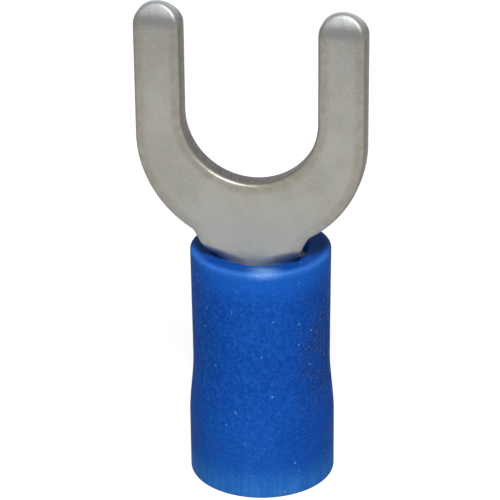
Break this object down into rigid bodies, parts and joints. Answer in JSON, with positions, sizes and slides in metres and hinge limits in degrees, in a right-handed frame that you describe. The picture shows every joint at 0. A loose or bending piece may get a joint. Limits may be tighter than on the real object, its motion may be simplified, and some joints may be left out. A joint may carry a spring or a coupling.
{
  "type": "insulated fork terminal",
  "caption": "Insulated crimp fork terminal: flat tin-plated fork for a screw stud, its neck rolled into a wire barrel inside a soft blue flared sleeve.",
  "frame": {"origin": "on the barrel's axis, at the flat wire end of the sleeve on which the part stands", "axes": "+Z along the barrel towards the prong tips, +X across the fork, -Y the way the flat front of the fork faces"},
  "size_m": [0.009, 0.0058, 0.0204],
  "materials": {
    "tinned_copper": "satin tin plating on copper sheet",
    "blue_vinyl": "satin soft moulded vinyl"
  },
  "bodies": {
    "root": {"terminal_body": "tinned_copper", "insulating_sleeve": "blue_vinyl"}
  },
  "joints": []
}
